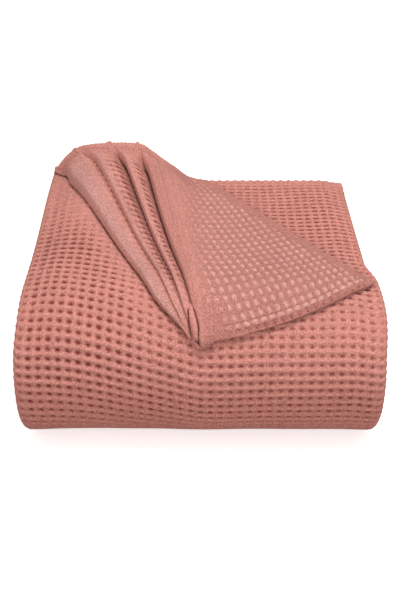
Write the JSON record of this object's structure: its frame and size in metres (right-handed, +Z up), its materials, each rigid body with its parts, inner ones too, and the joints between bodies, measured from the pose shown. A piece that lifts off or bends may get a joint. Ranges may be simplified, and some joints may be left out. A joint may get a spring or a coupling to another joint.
{
  "type": "folded waffle weave blanket",
  "caption": "Waffle weave cotton blanket folded into a thick stack with a rounded front fold, its top corner gathered into pleats and turned over as a flap.",
  "frame": {"origin": "middle of the bounding box's underside, on the surface that the blanket rests on", "axes": "+Z up, -Y towards the rounded front fold, +X to the right seen from the front, along the stack's longest side"},
  "size_m": [0.3761, 0.3235, 0.2355],
  "materials": {
    "waffle_cotton": "soft matt dusty rose cotton in a raised waffle weave, with a stitched hem"
  },
  "bodies": {
    "root": {"blanket": "waffle_cotton"}
  },
  "joints": []
}
